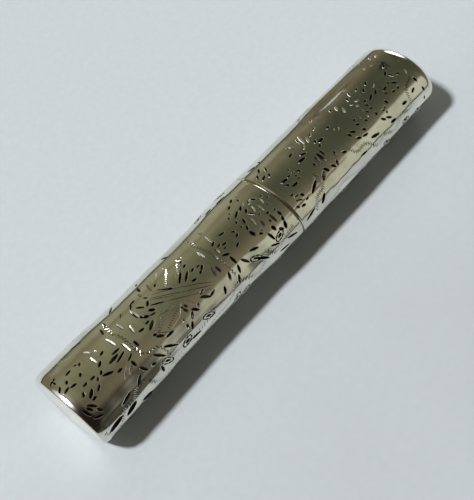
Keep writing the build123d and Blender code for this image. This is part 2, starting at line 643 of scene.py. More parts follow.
def base_panel() -> list[Stroke]:
    """Engrave the base's broad face: buds, sprays, two wriggle bands, and a lute with leaves.

    Returns:
        The cuts.
    """
    first_sprays = strokes(
        Cut.PLAIN,
        (0.95, -2.95, 0.6, -30), (1.25, -2.45, 0.5, 90), (1.6, -3.05, 0.5, -35), (1.0, -0.95, 0.9, -43),
        (1.6, 0.0, 0.9, -12), (2.8, 0.28, 0.85, 8), (2.5, -0.95, 0.6, -50), (3.7, -2.0, 0.85, -10),
        (5.25, -2.05, 0.45, 15), (5.75, -1.65, 0.5, -50), (4.65, -0.2, 0.6, -45), (4.0, 1.5, 0.65, -5),
        (5.45, 1.62, 0.65, 5), (2.75, 2.4, 0.7, -50), (3.4, 3.95, 0.65, 3), (5.0, 3.3, 0.9, -30),
        (5.85, 2.3, 0.5, -40), (6.9, 1.95, 0.6, -40), (7.4, 2.85, 1.35, 27), (7.7, 0.85, 0.85, -32),
        (9.15, -0.2, 0.65, -20), (10.65, 1.28, 1.15, 5), (10.5, 2.45, 1.6, -12), (11.4, 3.55, 0.95, -20),
        (8.95, 3.8, 0.75, 8), (11.1, 4.6, 0.8, 85), (11.6, 6.3, 1.1, 62), (9.9, 6.95, 1.4, -35),
        (13.2, 6.95, 0.6, 15), (12.85, -3.85, 0.9, -70), (1.1, 4.6, 1.2, 78), (1.75, 4.55, 0.8, 65),
        (2.35, 4.45, 1.1, 50), (2.75, 5.65, 0.7, 60), (1.95, 6.2, 1.2, 25), (6.7, 7.4, 1.9, -15),
        (7.9, -5.1, 1.9, 15), (11.75, -3.1, 1.1, -75),
    ) + strokes(
        Cut.BROAD, (3.6, 3.1, 1.2, -33), (9.6, 1.88, 1.5, -2),
    ) + strokes(
        Cut.LEAF, (3.1, 9.2, 2.4, -10), (6.4, 9.35, 2.0, -17),
    ) + strokes(
        Cut.BRIGHT,
        (7.8, -2.3, 1.0, 60), (8.3, -1.6, 1.1, 28), (7.5, -0.3, 1.1, 90), (11.3, -0.5, 1.6, 85),
        (12.2, 1.85, 1.4, 88), (9.3, 4.75, 1.4, -35), (10.1, 4.95, 1.0, -35), (4.9, -4.7, 1.8, 25),
    )
    lute = strokes(
        Cut.PLAIN,
        (18.3, -3.05, 0.9, -10), (17.3, 0.35, 0.6, 65), (17.8, 0.95, 0.7, 35), (18.4, -1.1, 1.2, 52),
        (19.6, -0.65, 0.9, -45), (20.15, -1.75, 0.55, 60), (23.7, 0.4, 0.6, 40), (20.7, -4.3, 1.2, -80),
        (22.7, -2.2, 0.5, -45), (21.3, -5.8, 0.5, -50), (17.2, 1.7, 0.6, 0), (15.7, 1.9, 0.8, 15),
        (16.5, 4.0, 0.5, 30), (16.9, 4.7, 1.0, 40), (18.2, 5.6, 1.2, 5), (13.6, 2.8, 0.9, 88),
        (15.5, -5.7, 1.6, -48), (14.75, 6.7, 1.6, 50), (17.2, 7.1, 2.0, 38), (21.1, 5.8, 0.4, -50),
        (21.05, 6.85, 0.6, -70), (21.7, 7.3, 1.0, -50), (22.8, 6.1, 1.0, -48), (23.8, 5.85, 1.0, 50),
        (24.6, 5.7, 0.5, -60), (21.4, 9.1, 1.6, 5),
    ) + strokes(
        Cut.THIN, (17.4, -2.45, 1.2, -55), (18.7, 1.35, 0.9, 20),
    ) + strokes(
        Cut.BROAD, (19.2, 0.75, 0.9, 45), (17.3, 2.5, 1.4, -28), (13.85, 8.6, 0.9, -80),
    ) + strokes(
        Cut.BRIGHT,
        (17.05, -1.0, 1.7, 90), (14.05, -1.3, 1.4, 88), (14.85, 0.6, 1.2, -75), (15.55, -2.7, 0.8, -50),
        (20.0, -3.0, 0.8, 95), (21.9, -2.75, 1.5, -78), (22.6, 4.8, 0.6, 70), (23.1, 4.35, 0.5, 70),
        (22.5, 4.1, 0.4, 70),
    ) + [
        line((16.85, -1.9), (16.88, 0.0), Cut.PLAIN), line((17.6, 0.5), (18.2, 1.2), Cut.PLAIN),
        line((17.5, -2.3), (17.9, -2.9)), line((18.3, 1.2), (19.1, 1.6)),
        line((19.5, -0.1), (21.5, 1.4)), line((22.2, -1.2), (24.0, 0.8)),
    ] + outline((21.5, 1.4), (25.2, 3.9), (28.0, 5.4)) + outline((20.5, -0.9), (24.9, 2.7), (28.4, 5.0))
    lute += outline((21.0, -1.4), (24.4, 1.2), (28.9, 4.7)) + outline((20.0, -1.0), (23.0, 1.6))
    leaves = (
        outline((22.6, -1.9), (23.7, -3.1), (24.9, -4.35), (26.0, -3.6), (27.4, -3.2))
        + outline((27.9, -3.1), (28.6, -2.0), (27.4, -0.8), (26.4, 0.3), (25.1, 1.2))
        + outline((26.4, 1.4), (27.6, 0.9), (28.2, 0.5))
        + outline((18.9, 5.35), (21.3, 4.85), (22.9, 3.5)) + outline((19.1, 2.3), (21.0, 2.9), (22.8, 3.0))
        + outline((17.4, 4.3), (16.9, 3.4), (18.2, 2.5)) + outline((17.3, 4.4), (18.3, 5.2))
        + hatching((23.5, -0.7), (25.9, -2.9), 0.5, 55, 0.4)
        + hatching((25.9, -0.2), (27.6, -2.2), 0.4, 55, 0.36)
        + hatching((17.2, 4.3), (19.2, 2.8), 0.5, 60, 0.38)
        + hatching((18.8, 4.8), (22.3, 3.6), 0.45, 70, 0.38)
        + hatching((23.9, 4.0), (24.5, 5.3), 0.5, 10) + hatching((14.6, 9.4), (26.0, 8.6), 0.7, -60, 0.62)
    )
    pegbox_and_sprays = strokes(
        Cut.PLAIN,
        (26.25, 0.15, 2.1, -38), (26.9, 0.95, 1.6, -35), (28.35, 0.9, 0.6, -15), (29.4, 1.15, 0.5, 10),
        (29.65, 1.75, 0.8, -42), (28.9, 2.2, 0.6, -30), (27.2, 2.35, 0.7, 20), (28.3, -1.8, 0.4, -45),
        (28.1, -0.7, 0.6, -25), (27.7, -5.6, 1.0, 55), (26.5, 4.6, 0.7, -8), (26.4, 5.6, 1.4, 42),
        (27.6, 6.0, 1.0, -12), (29.5, 7.2, 1.0, -60), (31.6, 6.1, 1.2, -65), (33.9, 0.25, 0.8, -25),
        (34.3, 1.2, 0.6, -15), (35.1, 1.7, 0.65, 10), (34.6, 2.3, 0.4, 20), (36.15, 0.05, 0.9, 12),
        (37.65, 1.3, 0.5, 45), (37.6, 2.2, 0.6, -35), (36.4, 3.4, 0.7, -25), (33.8, 3.2, 1.0, 35),
        (33.95, 4.7, 1.2, 90), (33.6, 6.4, 1.1, -68), (32.6, 7.6, 1.0, -60), (35.3, 6.2, 1.2, 60),
        (37.7, 5.8, 1.3, 20),
    ) + strokes(
        Cut.THIN, (28.6, -2.5, 0.7, 20),
    ) + strokes(
        Cut.BROAD, (38.0, 8.0, 1.9, 38),
    ) + strokes(
        Cut.BRIGHT,
        (30.3, 3.8, 1.4, -72), (31.1, 4.0, 1.0, 88), (31.2, 0.0, 1.4, 88), (32.4, 2.2, 0.9, 90),
        (33.4, 1.7, 0.8, 90), (34.3, -1.2, 1.6, -78), (34.35, -3.2, 0.6, 80),
    )
    mouth_sprays = strokes(
        Cut.PLAIN,
        (42.2, -3.3, 0.7, -42), (42.85, -2.3, 0.5, -55), (40.9, -2.5, 0.7, -35), (41.7, -5.6, 1.5, 0),
        (38.8, -5.9, 1.1, 0), (39.2, -1.0, 0.4, -60), (40.5, -0.5, 1.2, -30), (41.8, -0.75, 0.9, -35),
        (42.0, 0.3, 0.8, -40), (44.4, -0.3, 0.8, 50), (45.75, 0.4, 0.4, -60), (46.2, 1.3, 0.4, -60),
        (40.3, 1.3, 0.9, -65), (39.3, 0.55, 0.5, -50), (39.2, 1.7, 0.4, -50), (39.7, 2.5, 0.7, -55),
        (44.0, 3.15, 0.55, 0), (45.2, 2.1, 0.3, 0), (42.9, 2.3, 0.4, 0), (41.15, 4.4, 0.4, -40),
        (40.45, 4.75, 0.5, 45), (45.3, 3.6, 0.4, -20), (45.3, 4.65, 0.7, 85), (45.0, 5.6, 0.7, -75),
        (43.6, 6.6, 0.7, 42), (41.4, 6.3, 1.2, 80), (41.1, 7.8, 1.5, 25), (44.6, 8.9, 1.8, 18),
        (42.3, 9.65, 1.8, 8),
    ) + strokes(
        Cut.THIN, (42.1, 1.35, 1.1, 58),
    ) + strokes(
        Cut.BROAD, (39.5, 3.8, 1.0, 80), (42.7, 5.6, 0.8, 80), (44.6, 6.6, 1.0, -65),
    ) + strokes(
        Cut.BRIGHT,
        (40.0, -1.5, 0.5, -55), (42.7, -1.05, 0.5, -60), (43.6, -0.5, 0.7, -55), (42.95, 1.0, 0.9, -70),
        (45.0, 1.0, 0.8, -80), (41.2, 2.4, 1.2, -80), (43.85, 1.7, 1.2, 85), (42.0, 3.9, 1.0, -80),
        (43.9, 4.4, 1.3, 90), (43.2, 4.4, 0.5, 90),
    )
    bands = (
        wriggle(
            (12.9, -4.2), (12.4, -1.5), (12.9, 0.4), (12.9, 3.4), (13.4, 5.0), (15.6, 5.7), (16.2, 8.2),
            swing=50,
        )
        + wriggle((32.3, -5.0), (31.9, -2.0), (32.3, 0.8), (32.5, 3.2), (32.5, 6.8), swing=50)
        + wriggle((43.2, -3.2), (44.6, -3.4), (46.3, -3.1))
    )
    return first_sprays + lute + leaves + pegbox_and_sprays + mouth_sprays + bands


def base_border() -> list[Stroke]:
    """Engrave the base's narrow side: a wriggled wave with a leaf in each bend.

    Returns:
        The cuts.
    """
    wave = wriggle(
        (0.9, 8.9), (2.5, 10.4), (4.0, 9.9), (5.2, 8.6), (7.4, 8.6), (8.0, 8.2), (8.8, 7.5), (10.5, 7.6)
    )
    wave += wriggle(
        (10.9, 8.2), (12.4, 9.8), (15.0, 10.4), (18.5, 10.1), (22.0, 10.5), (26.0, 9.6), (28.5, 9.4),
        (30.3, 8.8), (31.3, 7.9), (33.2, 8.3), (35.4, 9.4), (37.0, 9.3), (39.1, 7.7), (39.8, 8.5),
        (41.0, 8.8), (43.0, 8.2), (45.8, 7.6),
    )
    leaves = strokes(Cut.LEAF, (1.9, 11.9, 1.5, 12), (5.3, 11.6, 1.9, -20), (9.6, 10.4, 1.8, 12))
    for station, girth, angle in (
        (12.6, 12.0, -18), (15.2, 8.3, 30), (17.0, 12.2, 10), (19.6, 8.6, -15), (24.0, 12.2, -10),
        (24.8, 8.2, 20), (28.2, 11.3, 16), (30.6, 10.2, -30), (32.6, 10.6, -18), (36.4, 11.6, 12),
        (37.0, 7.2, 25), (40.3, 11.2, -14), (42.6, 7.2, -20), (45.2, 11.4, 10),
    ):
        leaves += leaf(station, girth, 2.3, angle)
    return wave + leaves


def lid_panel() -> list[Stroke]:
    """Engrave the lid's broad face: sprays, a rosette of bright petals, and a long bouquet.

    Returns:
        The cuts.
    """
    sprays = strokes(
        Cut.PLAIN,
        (48.45, -2.8, 0.9, -48), (49.7, -3.7, 1.1, -45), (50.6, -2.9, 0.9, -60), (48.9, -1.75, 1.0, -30),
        (49.9, -1.4, 0.7, -45), (49.8, -5.7, 1.2, 18), (51.7, -5.6, 0.5, 60), (50.1, 2.3, 0.7, 45),
        (51.6, 1.4, 0.55, 15), (52.55, 0.6, 0.4, -45), (52.6, 1.3, 0.4, 45), (52.5, 2.2, 0.35, 30),
        (52.5, 2.85, 0.4, -10), (53.5, 1.95, 0.6, 35), (49.2, 4.0, 0.5, 8), (50.7, 6.2, 0.5, 0),
        (49.4, 6.6, 0.65, 15), (48.4, 6.1, 0.5, 55), (49.5, 8.7, 2.1, -15), (56.95, 5.2, 0.9, 65),
        (56.2, 3.2, 0.6, 88), (55.2, -1.15, 0.8, -15), (56.5, -2.3, 1.3, 70), (60.3, 4.4, 0.8, -75),
        (58.4, 5.6, 0.8, 55), (59.35, 5.7, 0.8, -65), (61.7, 5.3, 0.7, 35), (63.6, 0.2, 0.6, 0),
        (64.6, 8.1, 1.4, 5), (56.6, 0.4, 1.0, 25), (57.3, 2.9, 1.2, -80), (58.9, 2.8, 1.2, 90),
        (59.9, 0.4, 0.6, -40), (59.8, 1.5, 0.6, -35),
    ) + strokes(
        Cut.THIN, (58.3, -2.1, 1.1, -75),
    ) + strokes(
        Cut.BROAD,
        (50.4, 1.4, 1.1, 12), (51.1, 3.15, 1.0, 3), (50.5, 5.2, 0.6, 60), (53.1, 5.7, 2.0, -28),
        (53.1, 8.3, 1.4, -42), (55.8, 5.6, 1.3, -42), (55.5, 1.0, 1.3, 5), (58.1, 3.1, 1.7, 90),
        (60.7, 0.95, 1.0, 0),
    ) + strokes(
        Cut.BRIGHT,
        (58.9, -1.9, 1.6, -72), (59.5, -1.0, 1.0, -65), (57.9, -0.5, 0.9, -50), (60.6, -1.2, 0.6, -40),
        (62.1, -1.6, 0.6, -30), (63.8, 1.35, 0.4, -30), (64.5, 1.8, 0.5, -35), (63.4, -3.5, 0.8, -35),
    ) + [line((48.8, 5.1), (50.0, 5.8)), line((49.1, 4.55), (50.2, 4.75))]
    bouquet = strokes(
        Cut.PLAIN,
        (64.85, 4.0, 0.7, 70), (65.7, 3.95, 0.9, 45), (67.5, 3.7, 0.6, 40), (65.65, 5.45, 0.75, 40),
        (67.6, 5.1, 0.6, 60), (67.0, 5.9, 0.9, 12), (69.2, 4.25, 0.5, 50), (69.95, 4.1, 0.5, -60),
        (71.55, 4.85, 0.65, 88), (73.0, 5.2, 0.4, 30), (73.6, 5.05, 0.4, -40), (74.65, 4.6, 0.7, 75),
        (71.8, 6.3, 0.8, 52), (72.9, 6.8, 0.9, 42), (73.3, 5.9, 0.4, -50), (67.8, 2.75, 0.5, -30),
        (71.6, 2.5, 0.6, 20), (71.7, 3.4, 0.5, 40), (70.7, 3.4, 0.5, 60), (72.1, 1.8, 0.6, -20),
        (73.5, 2.0, 1.2, -25), (74.9, 2.0, 0.8, -35), (67.0, -1.9, 0.6, -50), (71.8, -1.5, 0.9, -60),
        (70.6, -0.9, 0.7, -60), (73.4, -1.1, 0.6, -35), (73.9, 0.1, 0.8, -40), (75.4, -0.6, 0.7, -35),
        (76.6, 2.75, 0.9, -8), (76.0, 3.5, 0.5, 40), (77.9, 2.5, 0.5, 10), (77.3, 4.2, 0.6, 10),
        (78.7, 3.2, 0.9, 45), (78.5, 4.3, 0.6, -15), (79.3, 0.8, 0.9, -35), (79.7, 1.9, 0.9, 65),
        (80.7, 2.5, 0.6, 20), (80.6, -0.5, 0.8, -30), (82.1, 5.5, 0.8, 85), (80.3, 6.6, 0.8, -25),
        (82.3, 7.8, 0.7, 80), (81.8, 9.4, 0.6, -75),
    ) + strokes(
        Cut.BROAD,
        (68.5, 7.3, 1.5, 15), (73.3, 7.9, 1.1, 8), (77.3, 7.1, 0.9, 8),
    ) + strokes(
        Cut.BRIGHT,
        (68.7, 3.05, 0.5, 80), (70.2, 2.5, 0.5, 70), (71.3, 0.6, 0.5, 40), (70.0, 0.4, 0.4, 45),
        (70.5, 1.3, 0.4, 70), (68.3, 0.0, 0.9, -70), (67.9, -1.3, 0.9, -60), (72.3, -3.1, 0.7, 85),
        (75.8, 0.85, 0.6, -40), (82.0, 3.3, 0.9, -65), (78.5, -3.3, 0.7, -50), (79.5, -2.7, 0.7, 45),
        (82.2, -3.4, 0.6, -45), (81.3, -4.2, 0.8, -45),
    )
    stem = wriggle(
        (51.0, 9.2), (51.7, 7.7), (53.0, 7.1), (54.2, 6.9), (54.5, 6.2), (54.4, 4.9), (55.2, 4.2)
    )
    return sprays + bouquet + stem


def lid_border() -> list[Stroke]:
    """Engrave the lid's narrow side: a wriggled wave with a leaf in each bend.

    Returns:
        The cuts.
    """
    wave = wriggle(
        (62.2, 4.2), (63.0, 6.2), (63.8, 7.0), (64.8, 6.9), (66.0, 7.0), (66.8, 7.9), (67.3, 8.6),
        (68.0, 8.9), (69.0, 8.8), (70.0, 8.4), (70.8, 8.6), (71.7, 9.1), (72.5, 9.5), (73.5, 9.1),
        (74.5, 8.6), (75.5, 8.2), (76.5, 8.4), (77.5, 8.7), (78.2, 8.4), (78.6, 7.5), (78.9, 6.2),
        (79.5, 5.4), (80.5, 5.0), (81.3, 4.8), (82.0, 4.4),
    )
    wave += wriggle((48.4, 10.2), (51.6, 10.9), (55.0, 10.0), (58.0, 8.9), (61.2, 9.6), (64.4, 10.6))
    leaves = []
    for station, girth, angle in (
        (50.0, 12.4, 12), (54.9, 12.0, -12), (58.0, 10.9, 8), (62.0, 11.8, -14), (66.7, 11.0, 14),
        (70.3, 10.4, 25), (73.2, 11.2, -12), (76.0, 9.9, 5), (79.7, 10.6, 16),
    ):
        leaves += leaf(station, girth, 2.0, angle)
    return wave + leaves


def whole_girth(
    form: CaseForm, panel: list[Stroke], border: list[Stroke], start: float, end: float
) -> list[Stroke]:
    """Spread the engraving round the case: both broad faces and both narrow sides.

    Args:
        form: The case's form.
        panel: Cuts of the broad face on top.
        border: Cuts of the narrow side towards -Y.
        start: Station where the half starts.
        end: Station where it ends.

    Returns:
        All the cuts of the half.
    """
    clear_of_seam, clear_of_borders = 1.3, 6.6
    back = [
        stroke.on_back(form, start, end)
        for stroke in panel
        if clear_of_seam < abs(stroke.girth) < clear_of_borders
    ]
    return panel + border + [stroke.on_left() for stroke in border] + back


@dataclass
class Engraving:
    """The engraver's work on one flat sheet."""

    strokes: list[Stroke]
    clearance: float = 1.2  # how much longer than a stroke the room kept round it is
    pointedness: float = 0.1  # 0 makes the cuts oval, 1 makes their ends sharp
    keel: float = 0.6  # length of the deepest line, as a share of the cut's
    lip_depth: float = 0.028
    spots: int = 5  # circles that stand for a stroke when its neighbours are checked
    crowding: float = 1.6  # how much smaller than their true room those circles are

    def rounds(self) -> list[list[Stroke]]:
        """Share the strokes out so that no two in a round overlap.

        Returns:
            Rounds of strokes, each of which can be cut out in one go.
        """
        rounds: list[list[Stroke]] = []
        taken: list[np.ndarray] = []
        for stroke in self.strokes:
            turn = math.radians(stroke.angle)
            spots = np.linspace(-0.5, 0.5, self.spots)[:, None] * stroke.length * self.clearance
            heading = np.array([math.cos(turn), math.sin(turn)])
            body = np.array([stroke.station, stroke.girth]) + spots * heading
            apart = stroke.length * self.clearance / (self.spots - 1)
            room = (apart + stroke.width + stroke.kind.value.lip) / self.crowding
            for number, spots_taken in enumerate(taken):
                gaps = np.linalg.norm(spots_taken[:, None, :2] - body[None], axis=2)
                if (gaps > spots_taken[:, None, 2] + room).all():
                    break
            else:
                number = len(rounds)
                rounds.append([])
                taken.append(np.zeros((0, 3)))
            rounds[number].append(stroke)
            circles = np.column_stack([body, np.full(len(body), room)])
            taken[number] = np.vstack([taken[number], circles])
        return rounds

    def add_chip(self, bm: bmesh.types.BMesh, stroke: Stroke) -> None:
        """Add the chip of silver that one stroke takes out: a keel like a boat's, with a flared lip.

        The chip starts as a cylinder from -1 to 1, and its flared rim, if it has one, is a storey higher.

        Args:
            bm: Mesh of the chips of one round.
            stroke: The stroke that cuts it out.
        """
        tool, storey = stroke.kind.value, 1.0
        chip = bmesh.ops.create_cone(
            bm, cap_ends=True, segments=tool.sides, radius1=1, radius2=1, depth=2
        )["verts"]
        if tool.lip:
            top = max((face for vert in chip for face in vert.link_faces), key=lambda f: f.normal.z)
            flared = list(bmesh.ops.extrude_discrete_faces(bm, faces=[top])["faces"][0].verts)
            bmesh.ops.translate(bm, vec=(0, 0, storey), verts=flared)
            chip = chip + flared
        turn = math.radians(-stroke.angle)
        place = Matrix.Translation((stroke.station, -stroke.girth, 0)) @ Matrix.Rotation(turn, 4, "Z")
        towards_flat_end = math.copysign(1, math.sin(turn))
        deepest = Vector((0, tool.lean * stroke.width / 2 * towards_flat_end, -stroke.depth))
        proud = 0.5  # how far the walls carry on above the sheet, as a share of their height below it
        for vert in chip:
            bow = vert.co.y
            if tool.sides > 4:
                bow *= abs(bow) ** self.pointedness
            rim = Vector((vert.co.x * stroke.length / 2, bow * stroke.width / 2, 0))
            if vert.co.z < 0:
                along_keel = Vector((vert.co.x * stroke.length / 2 * self.keel, 0, 0))
                vert.co = place @ (deepest + along_keel)
            elif vert.co.z > 1 + storey / 2:
                growth = Vector((1 + 2 * tool.lip / stroke.length, 1 + 2 * tool.lip / stroke.width, 0))
                widened = rim * growth
                inner = rim - Vector((0, 0, self.lip_depth))
                vert.co = place @ (widened + (widened - inner) * proud)
            elif tool.lip:
                vert.co = place @ (rim - Vector((0, 0, self.lip_depth)))
            else:
                vert.co = place @ (rim + (rim - deepest) * proud)

    def nearest(self, stations: np.ndarray, girths: np.ndarray) -> np.ndarray:
        """Find the stroke that each place in a cut belongs to.

        Args:
            stations: Stations of the places.
            girths: Their girths.

        Returns:
            Number of the stroke in the list, for each place.
        """
        best = np.full(len(stations), np.inf)
        owner = np.zeros(len(stations), int)
        for number, stroke in enumerate(self.strokes):
            turn = math.radians(stroke.angle)
            along, across = stations - stroke.station, girths - stroke.girth
            far = ((along * math.cos(turn) + across * math.sin(turn)) * 2 / stroke.length) ** 2
            far += ((across * math.cos(turn) - along * math.sin(turn)) * 2 / stroke.width) ** 2
            closer = far < best
            best[closer], owner[closer] = far[closer], number
        return owner

    def cut(self, sheet: bpy.types.Object) -> bpy.types.Mesh:
        """Cut the strokes out of a flat sheet.

        Args:
            sheet: The sheet, outer face up at height 0.

        Returns:
            The engraved mesh, still flat.
        """
        chips = []
        for number, strokes_of_round in enumerate(self.rounds()):
            bm = bmesh.new()
            for stroke in strokes_of_round:
                self.add_chip(bm, stroke)
            bmesh.ops.remove_doubles(bm, verts=bm.verts, dist=WELD)
            bmesh.ops.recalc_face_normals(bm, faces=bm.faces)
            chips.append(object_from(f"chips_{number}", bm))
            gouge = sheet.modifiers.new(f"round_{number}", "BOOLEAN")
            gouge.operation, gouge.solver, gouge.object = "DIFFERENCE", "MANIFOLD", chips[-1]
        graph = bpy.context.evaluated_depsgraph_get()
        mesh = bpy.data.meshes.new_from_object(sheet.evaluated_get(graph))
        for made in [*chips, sheet]:
            bpy.data.objects.remove(made)
        return mesh


# ---------------------------------------------------------------------------------------------- finishes


@dataclass(frozen=True)
class OldSilver:
    """Sterling silver, hand-polished, then worn for a century: soft reflections, hairlines and tarnish."""

    name: str = "sterling_silver_hand_polished_worn"
    bright: str = "#ECEADF"
    dull: str = "#CBC7B8"
    speck: str = "#8B8068"
    roughness: tuple[float, float] = (0.07, 0.17)
    cloud_mm: float = 7.0
    cloud_edges: tuple[float, float] = (0.38, 0.72)  # noise values where a cloud starts and is full
    wear_edges: tuple[float, float] = (0.3, 0.75)
    speck_mm: float = 0.45
    speck_edges: tuple[float, float] = (0.66, 0.76)
    speck_share: float = 0.5
    hairline_mm: float = 0.16
    hairline_stretch: float = 14.0
    hairline_height_mm: float = 0.0024
    hairline_strength: float = 0.6
    hairline_angles: tuple[float, float] = (0.0, 64.0)  # in degrees from the case's length

    def material(self) -> bpy.types.Material:
        """Build the material.

        Returns:
            Metal with clouds of thin tarnish, hairlines along the case and across it, and dark specks.
        """
        material, tree, shader = new_metal(self.name)
        place = add_node(tree, "TexCoord").outputs["Object"]
        clouds = add_node(tree, "TexNoise", Vector=place, Scale=1 / (self.cloud_mm * MM), Detail=4.0)
        start, full = self.cloud_edges
        cloud = add_node(
            tree, "MapRange", Value=clouds.outputs["Fac"], From_Min=start, From_Max=full
        ).outputs["Result"]
        specks = add_node(tree, "TexNoise", Vector=place, Scale=1 / (self.speck_mm * MM), Detail=3.0)
        start, full = self.speck_edges
        speck = add_node(
            tree, "MapRange", Value=specks.outputs["Fac"], From_Min=start, From_Max=full,
            To_Max=self.speck_share,
        ).outputs["Result"]
        tint = add_node(
            tree, "Mix", {"data_type": "RGBA"}, i0=cloud, i6=linear(self.bright), i7=linear(self.dull)
        ).outputs[2]
        spotted = add_node(
            tree, "Mix", {"data_type": "RGBA"}, i0=speck, i6=tint, i7=linear(self.speck)
        ).outputs[2]
        tree.links.new(spotted, shader.inputs["Base Color"])
        height = None
        stretched = (1 / self.hairline_stretch, 1, 1)
        for angle in self.hairline_angles:
            grain = add_node(
                tree, "Mapping", Vector=place, Rotation=(0, 0, math.radians(angle)), Scale=stretched
            ).outputs["Vector"]
            hairs = add_node(
                tree, "TexNoise", Vector=grain, Scale=1 / (self.hairline_mm * MM), Detail=2.0
            ).outputs["Fac"]
            below = {"Normal": height} if height else {}
            height = add_node(
                tree, "Bump", Strength=self.hairline_strength, Distance=self.hairline_height_mm * MM,
                Height=hairs, **below,
            ).outputs["Normal"]
        tree.links.new(height, shader.inputs["Normal"])
        start, full = self.wear_edges
        wear = add_node(
            tree, "MapRange", Value=clouds.outputs["Fac"], From_Min=start, From_Max=full,
            To_Min=self.roughness[0], To_Max=self.roughness[1],
        ).outputs["Result"]
        tree.links.new(wear, shader.inputs["Roughness"])
        return material


@dataclass(frozen=True)
class CutSilver:
    """Sterling silver cut by a graver: crisp clean walls, black in the cuts that hold tarnish, and painted
    shade on the bright cuts' walls that face away from the key light.
    """

    name: str = "sterling_silver_graver_cut_tarnished_painted_shade"
    clean: str = "#E4E2D8"
    tarnish: str = "#08090E"
    roughness: tuple[float, float] = (0.14, 0.2)

    def material(self) -> bpy.types.Material:
        """Build the material, which reads from the mesh how black each cut is: its tarnish, and painted
        shade on the bright cuts' walls that face away from the key light.

        Returns:
            Metal from clean silver to the blue-black of silver sulphide.
        """
        material, tree, shader = new_metal(self.name)
        # the tarnish attribute holds real tarnish and, on bright cuts' walls facing away from the key
        # light, painted shade
        share = add_node(tree, "Attribute", {"attribute_name": "tarnish"}).outputs["Fac"]
        tint = add_node(
            tree, "Mix", {"data_type": "RGBA"}, i0=share, i6=linear(self.clean), i7=linear(self.tarnish)
        ).outputs[2]
        tree.links.new(tint, shader.inputs["Base Color"])
        rough = add_node(
            tree, "MapRange", Value=share, To_Min=self.roughness[0], To_Max=self.roughness[1]
        ).outputs["Result"]
        tree.links.new(rough, shader.inputs["Roughness"])
        return material


@dataclass(frozen=True)
class HardSolder:
    """Silver solder, run in by flame and filed flush: a little yellower and duller than the sheet."""

    name: str = "silver_solder_flowed_filed"
    tint: str = "#CFC49E"
    pit: str = "#7C7257"
    roughness: float = 0.38
    grain_mm: float = 0.25
    pit_edges: tuple[float, float] = (0.55, 0.7)  # noise values where a pit starts and is deepest
    pit_depth_mm: float = 0.01
    pit_strength: float = 0.5

    def material(self) -> bpy.types.Material:
        """Build the material.

        Returns:
            Metal with fine pits, as flowed solder has.
        """
        material, tree, shader = new_metal(self.name)
        shader.inputs["Roughness"].default_value = self.roughness
        place = add_node(tree, "TexCoord").outputs["Object"]
        grain = add_node(tree, "TexNoise", Vector=place, Scale=1 / (self.grain_mm * MM), Detail=3.0)
        start, deepest = self.pit_edges
        pits = add_node(
            tree, "MapRange", Value=grain.outputs["Fac"], From_Min=start, From_Max=deepest
        ).outputs["Result"]
        tint = add_node(
            tree, "Mix", {"data_type": "RGBA"}, i0=pits, i6=linear(self.tint), i7=linear(self.pit)
        ).outputs[2]
        tree.links.new(tint, shader.inputs["Base Color"])
        bump = add_node(
            tree, "Bump", Strength=self.pit_strength, Distance=self.pit_depth_mm * MM,
            Height=grain.outputs["Fac"],
        )
        tree.links.new(bump.outputs["Normal"], shader.inputs["Normal"])
        return material


# ----------------------------------------------------------------------------------------------- the case


